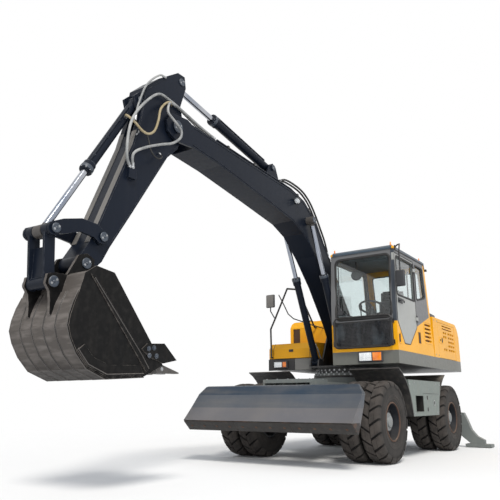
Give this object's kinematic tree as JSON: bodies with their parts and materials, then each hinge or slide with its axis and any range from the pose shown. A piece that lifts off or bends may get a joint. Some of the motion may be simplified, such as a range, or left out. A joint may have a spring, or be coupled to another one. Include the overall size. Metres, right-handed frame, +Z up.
{
  "type": "wheeled excavator",
  "caption": "Wheeled excavator with a slewing body, cab, digging boom, arm and bucket, front dozer blade, rear outriggers and twin tyres.",
  "frame": {"origin": "on the ground under the slewing axis", "axes": "front of the machine towards -Y, cab side towards +X, +Z up along the slewing axis"},
  "size_m": [3.22, 8.4919, 4.5199],
  "materials": {
    "axle_iron": "rough",
    "black_paint": "satin",
    "black_plastic": "matt",
    "blade_paint": "satin",
    "bucket_paint": "worn",
    "cab_grey_paint": "semi-gloss",
    "chassis_paint": "satin",
    "chrome": "polished",
    "door_grey_paint": "semi-gloss",
    "engine_iron": "rough",
    "glass": "clear",
    "navy_paint": "semi-gloss",
    "rim_paint": "satin",
    "roof_paint": "semi-gloss",
    "seat_cloth": "woven",
    "tyre": "matt",
    "wear_steel": "worn",
    "yellow_paint": "semi-gloss"
  },
  "bodies": {
    "undercarriage": {"chassis": "chassis_paint", "drive_line": "axle_iron", "front_axle": "axle_iron", "rear_axle": "axle_iron", "step_box_left": "chassis_paint", "step_box_right": "chassis_paint", "outrigger_frame": "chassis_paint"},
    "steer_left": {"knuckle_left": "axle_iron"},
    "steer_right": {"knuckle_right": "axle_iron"},
    "steering_rod": {"steering_rod": "axle_iron"},
    "wheel_front_left": {"tyres_front_left": "tyre", "rims_front_left": "rim_paint"},
    "wheel_front_right": {"tyres_front_right": "tyre", "rims_front_right": "rim_paint"},
    "wheel_rear_left": {"tyres_rear_left": "tyre", "rims_rear_left": "rim_paint"},
    "wheel_rear_right": {"tyres_rear_right": "tyre", "rims_rear_right": "rim_paint"},
    "upper": {"platform": "cab_grey_paint", "counterweight": "yellow_paint", "engine_cover": "yellow_paint", "engine": "engine_iron", "tool_box": "yellow_paint", "front_panel": "black_plastic", "fuel_tank": "yellow_paint", "cab_shell": "cab_grey_paint", "cab_roof": "roof_paint", "cab_glass": "glass", "seat": "seat_cloth", "steering_column": "black_plastic", "windscreen_guard": "black_paint", "hand_rail": "black_paint", "mirrors": "black_plastic", "head_lamps": "black_plastic"},
    "cab_door": {"cab_door": "door_grey_paint", "door_glass": "glass"},
    "engine_door_left": {"engine_door_left": "yellow_paint"},
    "engine_door_right": {"engine_door_right": "yellow_paint"},
    "boom": {"boom": "navy_paint", "boom_pipes": "navy_paint"},
    "boom_barrels": {"boom_barrels": "navy_paint"},
    "boom_rods": {"boom_rods": "chrome"},
    "arm": {"arm": "navy_paint"},
    "arm_barrel": {"arm_barrel": "navy_paint"},
    "arm_rod": {"arm_rod": "chrome"},
    "bucket_barrel": {"bucket_barrel": "navy_paint"},
    "bucket_rod": {"bucket_rod": "chrome"},
    "idlers": {"idler_links": "black_paint"},
    "bucket_link": {"bucket_link": "black_paint"},
    "bucket": {"bucket": "bucket_paint", "bucket_teeth": "wear_steel"},
    "blade": {"blade": "blade_paint"},
    "blade_barrels": {"blade_barrels": "chassis_paint"},
    "blade_rods": {"blade_rods": "chrome"},
    "outrigger_left": {"outrigger_left": "chassis_paint"},
    "outrigger_barrel_left": {"outrigger_barrel_left": "chassis_paint"},
    "outrigger_rod_left": {"outrigger_rod_left": "chrome"},
    "outrigger_right": {"outrigger_right": "chassis_paint"},
    "outrigger_barrel_right": {"outrigger_barrel_right": "chassis_paint"},
    "outrigger_rod_right": {"outrigger_rod_right": "chrome"}
  },
  "joints": [
    {"name": "steer_left_pivot", "type": "hinge", "parent": "undercarriage", "child": "steer_left", "pos_m": [0.575, -1.35, 0.528], "axis": [0, 0, 1], "range_deg": [-20, 20]},
    {"name": "steer_right_pivot", "type": "hinge", "parent": "undercarriage", "child": "steer_right", "pos_m": [-0.575, -1.35, 0.528], "axis": [0, 0, 1], "range_deg": [-20.1, 20.1]},
    {"name": "steering_rod_slide", "type": "slide", "parent": "undercarriage", "child": "steering_rod", "axis": [1, 0, 0], "range_m": [-0.079, 0.079]},
    {"name": "wheel_front_left_spin", "type": "hinge", "parent": "steer_left", "child": "wheel_front_left", "pos_m": [0.95, -1.35, 0.528], "axis": [1, 0, 0], "continuous": true},
    {"name": "wheel_front_right_spin", "type": "hinge", "parent": "steer_right", "child": "wheel_front_right", "pos_m": [-0.95, -1.35, 0.528], "axis": [1, 0, 0], "continuous": true},
    {"name": "wheel_rear_left_spin", "type": "hinge", "parent": "undercarriage", "child": "wheel_rear_left", "pos_m": [0.95, 1.35, 0.528], "axis": [1, 0, 0], "continuous": true},
    {"name": "wheel_rear_right_spin", "type": "hinge", "parent": "undercarriage", "child": "wheel_rear_right", "pos_m": [-0.95, 1.35, 0.528], "axis": [1, 0, 0], "continuous": true},
    {"name": "slew", "type": "hinge", "parent": "undercarriage", "child": "upper", "pos_m": [0, 0, 1.222], "axis": [0, 0, 1], "continuous": true},
    {"name": "cab_door_hinge", "type": "hinge", "parent": "upper", "child": "cab_door", "pos_m": [1.266, -0.189, 2.2], "axis": [0, 0, 1], "range_deg": [0, 160]},
    {"name": "engine_door_left_hinge", "type": "hinge", "parent": "upper", "child": "engine_door_left", "pos_m": [1.232, 1.782, 1.78], "axis": [0, 0, 1], "range_deg": [0, 90]},
    {"name": "engine_door_right_hinge", "type": "hinge", "parent": "upper", "child": "engine_door_right", "pos_m": [-1.232, 1.782, 1.78], "axis": [0, 0, -1], "range_deg": [0, 90]},
    {"name": "boom_lift", "type": "hinge", "parent": "upper", "child": "boom", "pos_m": [-0.09, -0.06, 1.76], "axis": [1, 0, 0], "range_deg": [-20, 52]},
    {"name": "boom_barrels_pivot", "type": "hinge", "parent": "upper", "child": "boom_barrels", "pos_m": [-0.09, -0.5, 1.396], "axis": [1, 0, 0], "range_deg": [-20.23, 52.51]},
    {"name": "boom_rods_slide", "type": "slide", "parent": "boom_barrels", "child": "boom_rods", "axis": [0, -0.427, 0.9042], "range_m": [-0.46971, 0.18097]},
    {"name": "arm_reach", "type": "hinge", "parent": "boom", "child": "arm", "pos_m": [-0.09, -4.475, 3.788], "axis": [-1, 0, 0], "range_deg": [-72, 42]},
    {"name": "arm_barrel_pivot", "type": "hinge", "parent": "boom", "child": "arm_barrel", "pos_m": [-0.09, -2.3, 4.06], "axis": [1, 0, 0], "range_deg": [-2.88, 4.91]},
    {"name": "arm_rod_slide", "type": "slide", "parent": "arm_barrel", "child": "arm_rod", "axis": [0, -0.9844, 0.1757], "range_m": [-0.44501, 0.76252]},
    {"name": "bucket_curl", "type": "hinge", "parent": "arm", "child": "bucket", "pos_m": [-0.09, -5.6, 1.987], "axis": [1, 0, 0], "range_deg": [-105, 35]},
    {"name": "bucket_barrel_pivot", "type": "hinge", "parent": "arm", "child": "bucket_barrel", "pos_m": [-0.09, -4.975, 3.925], "axis": [1, 0, 0], "range_deg": [-4.25, 1.45]},
    {"name": "bucket_rod_slide", "type": "slide", "parent": "bucket_barrel", "child": "bucket_rod", "axis": [0, -0.5101, -0.8601], "range_m": [-0.68772, 0.22957]},
    {"name": "idlers_pivot", "type": "hinge", "parent": "arm", "child": "idlers", "pos_m": [-0.09, -5.445, 2.268], "axis": [1, 0, 0], "range_deg": [-79.85, 26.65]},
    {"name": "bucket_link_pivot", "type": "hinge", "parent": "idlers", "child": "bucket_link", "pos_m": [-0.09, -5.985, 2.222], "axis": [1, 0, 0], "range_deg": [-16.15, 48.35]},
    {"name": "blade_lift", "type": "hinge", "parent": "undercarriage", "child": "blade", "pos_m": [0, -1.7, 0.56], "axis": [1, 0, 0], "range_deg": [0, 35]},
    {"name": "blade_barrels_pivot", "type": "hinge", "parent": "undercarriage", "child": "blade_barrels", "pos_m": [0, -1.86, 0.98], "axis": [1, 0, 0], "range_deg": [-0.05, 24.06]},
    {"name": "blade_rods_slide", "type": "slide", "parent": "blade_barrels", "child": "blade_rods", "axis": [0, -0.7809, -0.6247], "range_m": [-0.0005, 0.24332]},
    {"name": "outrigger_left_lift", "type": "hinge", "parent": "undercarriage", "child": "outrigger_left", "pos_m": [0.42, 2.29, 0.42], "axis": [0, -1, 0], "range_deg": [0, 80]},
    {"name": "outrigger_barrel_left_pivot", "type": "hinge", "parent": "undercarriage", "child": "outrigger_barrel_left", "pos_m": [0.066, 2.29, 1.04], "axis": [0, -1, 0], "range_deg": [-8.99, 0.05]},
    {"name": "outrigger_rod_left_slide", "type": "slide", "parent": "outrigger_barrel_left", "child": "outrigger_rod_left", "axis": [0.755, 0, -0.6557], "range_m": [-0.30949, 0.0005]},
    {"name": "outrigger_right_lift", "type": "hinge", "parent": "undercarriage", "child": "outrigger_right", "pos_m": [-0.42, 2.29, 0.42], "axis": [0, 1, 0], "range_deg": [0, 80]},
    {"name": "outrigger_barrel_right_pivot", "type": "hinge", "parent": "undercarriage", "child": "outrigger_barrel_right", "pos_m": [-0.066, 2.29, 1.04], "axis": [0, 1, 0], "range_deg": [-8.99, 0.05]},
    {"name": "outrigger_rod_right_slide", "type": "slide", "parent": "outrigger_barrel_right", "child": "outrigger_rod_right", "axis": [-0.755, 0, -0.6557], "range_m": [-0.30949, 0.0005]}
  ],
  "couplings": [
    {"joint": "steer_right_pivot", "follows": "steer_left_pivot", "ratio": 1},
    {"joint": "steering_rod_slide", "follows": "steer_left_pivot", "m_per_rad": 0.2235},
    {"joint": "boom_barrels_pivot", "follows": "boom_lift", "ratio": 1.0089},
    {"joint": "boom_rods_slide", "follows": "boom_lift", "m_per_rad": -0.517},
    {"joint": "arm_barrel_pivot", "follows": "arm_reach", "ratio": -0.0675},
    {"joint": "arm_rod_slide", "follows": "arm_reach", "m_per_rad": -0.6064},
    {"joint": "bucket_barrel_pivot", "follows": "bucket_curl", "ratio": 0.04},
    {"joint": "bucket_rod_slide", "follows": "bucket_curl", "m_per_rad": 0.375},
    {"joint": "idlers_pivot", "follows": "bucket_curl", "ratio": 0.76},
    {"joint": "bucket_link_pivot", "follows": "bucket_curl", "ratio": -0.46},
    {"joint": "blade_barrels_pivot", "follows": "blade_lift", "ratio": 0.6859},
    {"joint": "blade_rods_slide", "follows": "blade_lift", "m_per_rad": 0.3975},
    {"joint": "outrigger_barrel_left_pivot", "follows": "outrigger_left_lift", "ratio": -0.1117},
    {"joint": "outrigger_rod_left_slide", "follows": "outrigger_left_lift", "m_per_rad": -0.2213},
    {"joint": "outrigger_barrel_right_pivot", "follows": "outrigger_right_lift", "ratio": -0.1117},
    {"joint": "outrigger_rod_right_slide", "follows": "outrigger_right_lift", "m_per_rad": -0.2213}
  ]
}
